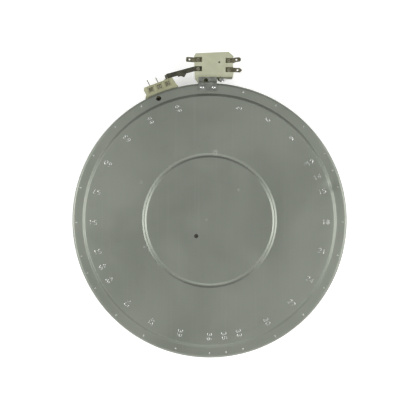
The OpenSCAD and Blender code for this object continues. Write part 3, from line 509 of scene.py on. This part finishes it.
NUMBERS = [
    (14.75, "3"), (30, "6"), (45, "9"), (60, "12"), (67.9, "14"), (75.5, "15"), (90.7, "18"), (105.2, "21"),
    (120.5, "24"), (135.2, "27"), (150.4, "30"), (165.4, "33"), (172.8, "35"), (180, "36"), (194.8, "39"),
    (209.8, "42"), (224.6, "45"), (239.3, "48"), (246.7, "49"), (254.4, "51"), (269.1, "54"), (284.3, "57"),
    (299.3, "60"), (314.8, "63"), (329.3, "66"), (344.5, "69"),
]
DIGIT_H = 4.3
DIGIT_STEP = 4.2
NUMBER_R = 114.0
STROKE_HALF = 0.28
STROKE_H = 0.085


def ridge(path, half, low, high):
    """A low ridge along a flat path: a broad foot, and a narrow crest."""
    verts, faces = [], []
    left, right = beside_open(path, half), beside_open(path, -half)
    count = len(path)
    for a, p, b in zip(left, path, right):
        verts += [(a.x, a.y, low), (*a.lerp(p, 0.6), high), (*b.lerp(p, 0.6), high), (b.x, b.y, low)]
    for i in range(count - 1):
        o = 4 * i
        faces += [(o + k, o + k + 1, o + k + 5, o + k + 4) for k in range(3)]
    faces += [(3, 2, 1, 0), tuple(4 * (count - 1) + k for k in range(4))]
    return verts, faces


def beside_open(path, distance):
    moved = []
    for i, p in enumerate(path):
        a = (path[max(i, 1)] - path[max(i, 1) - 1]).normalized()
        b = (path[min(i + 1, len(path) - 1)] - path[min(i + 1, len(path) - 1) - 1]).normalized()
        side = Vector((-a.y, a.x))
        middle = side + Vector((-b.y, b.x))
        middle = middle.normalized() if middle.length > 0.3 else side
        moved.append(p + middle * distance / max(middle.dot(side), 0.6))
    return moved


def stamp_strokes(strokes, place, half, low, high, out):
    for stroke in strokes:
        path = [place(Vector(p)) for p in stroke]
        verts, faces = ridge(path, half, low, high)
        base = len(out[0])
        out[0].extend(verts)
        out[1].extend(tuple(base + k for k in face) for face in faces)


def make_numbers():
    out = ([], [])
    for angle, word in NUMBERS:
        a = math.radians(90 - angle)
        along = Vector((math.cos(a), math.sin(a)))
        up = Vector((-along.y, along.x))
        length = (len(word) - 1) * DIGIT_STEP + 0.6 * DIGIT_H
        for i, digit in enumerate(word):
            start = along * (NUMBER_R - length / 2 + i * DIGIT_STEP) - up * DIGIT_H / 2
            stamp_strokes(
                DIGITS[digit], lambda p: start + along * p.x * DIGIT_H + up * p.y * DIGIT_H,
                STROKE_HALF, PLATE_Z - 0.05, PLATE_Z + STROKE_H, out,
            )
        tick = [(-0.9, 0.5), (0.9, 0), (-0.9, -0.5)]
        stamp_strokes(
            [tick], lambda p: along * (130.6 + p.x) + up * p.y, 0.3, BAND_Z - 0.05, BAND_Z + 0.08, out,
        ) if 40 < angle < 340 or angle < 35 else None
    marks = mesh_object("index_numbers", out[0], out[1], 60)
    clean_normals(marks)
    smooth(marks, 60)
    # The digits and ticks take the pale metal, whose colour carries a painted highlight
    return finish_piece(marks, DIGIT_METAL_AND_SHEEN, "plated_steel")


make_numbers()

# Floor, light and camera
def make_floor():
    size = 12
    verts = [(-size, -size, 0), (size, -size, 0), (size, size, 0), (-size, size, 0)]
    mesh = bpy.data.meshes.new("floor")
    mesh.from_pydata([Vector(v) for v in verts], [], [(0, 1, 2, 3)])
    floor = link(bpy.data.objects.new("floor", mesh))
    floor.location.z = -0.0002
    material = bpy.data.materials.new("floor")
    material.use_nodes = True
    tree = material.node_tree
    bsdf = tree.nodes["Principled BSDF"]
    bsdf.inputs["Base Color"].default_value = (0.86, 0.86, 0.86, 1)
    bsdf.inputs["Roughness"].default_value = 0.9
    bsdf.inputs["Emission Color"].default_value = (1, 1, 1, 1)
    rays = tree.nodes.new("ShaderNodeLightPath")
    seen = None
    for name in ("Is Camera Ray", "Is Glossy Ray", "Is Transmission Ray"):
        if seen is None:
            seen = rays.outputs[name]
            continue
        most = tree.nodes.new("ShaderNodeMath")
        most.operation = "MAXIMUM"
        tree.links.new(seen, most.inputs[0])
        tree.links.new(rays.outputs[name], most.inputs[1])
        seen = most.outputs[0]
    strength = tree.nodes.new("ShaderNodeMath")
    strength.operation = "MULTIPLY"
    strength.inputs[1].default_value = 0.5
    tree.links.new(seen, strength.inputs[0])
    tree.links.new(strength.outputs[0], bsdf.inputs["Emission Strength"])
    mesh.materials.append(material)


def soft_light(name, place, size, power):
    light = bpy.data.lights.new(name, "AREA")
    light.shape = "RECTANGLE"
    light.size, light.size_y = size
    light.energy = power
    lamp = link(bpy.data.objects.new(name, light))
    lamp.location = place
    lamp.rotation_euler = (-Vector(place)).to_track_quat("-Z", "Y").to_euler()


def make_world():
    world = bpy.data.worlds.new("studio")
    world.use_nodes = True
    tree = world.node_tree
    background = tree.nodes["Background"]
    place = tree.nodes.new("ShaderNodeTexCoord")
    split = tree.nodes.new("ShaderNodeSeparateXYZ")
    tree.links.new(place.outputs["Generated"], split.inputs[0])
    fade = tree.nodes.new("ShaderNodeMapRange")
    for key, number in (("From Min", -0.1), ("From Max", 0.7), ("To Min", 0.44), ("To Max", 0.2)):
        fade.inputs[key].default_value = number
    tree.links.new(split.outputs["Y"], fade.inputs["Value"])
    tree.links.new(fade.outputs["Result"], background.inputs["Strength"])
    background.inputs["Color"].default_value = (1, 1, 1, 1)
    scene.world = world


def make_camera():
    # The photo is 416 pixels wide at 0.9805 mm a pixel on the plate
    width = 416 * 0.9805 * MM
    above = 1.1
    camera = bpy.data.cameras.new("camera")
    camera.sensor_fit = "HORIZONTAL"
    camera.sensor_width = 36
    camera.lens = 36 * above / width
    view = link(bpy.data.objects.new("camera", camera))
    view.location = (-1.5 * MM, 12.2 * MM, PLATE_Z * MM + above)
    view.rotation_euler = (0, 0, 0)
    scene.camera = view


make_floor()
make_world()
soft_light("left", (-1.05, 0.05, 0.85), (0.7, 0.9), 9)
soft_light("right", (1.05, 0.0, 0.85), (0.7, 0.9), 9)
soft_light("near", (0.0, -1.2, 0.8), (0.9, 0.5), 3)
make_camera()
scene.view_settings.view_transform = "Standard"
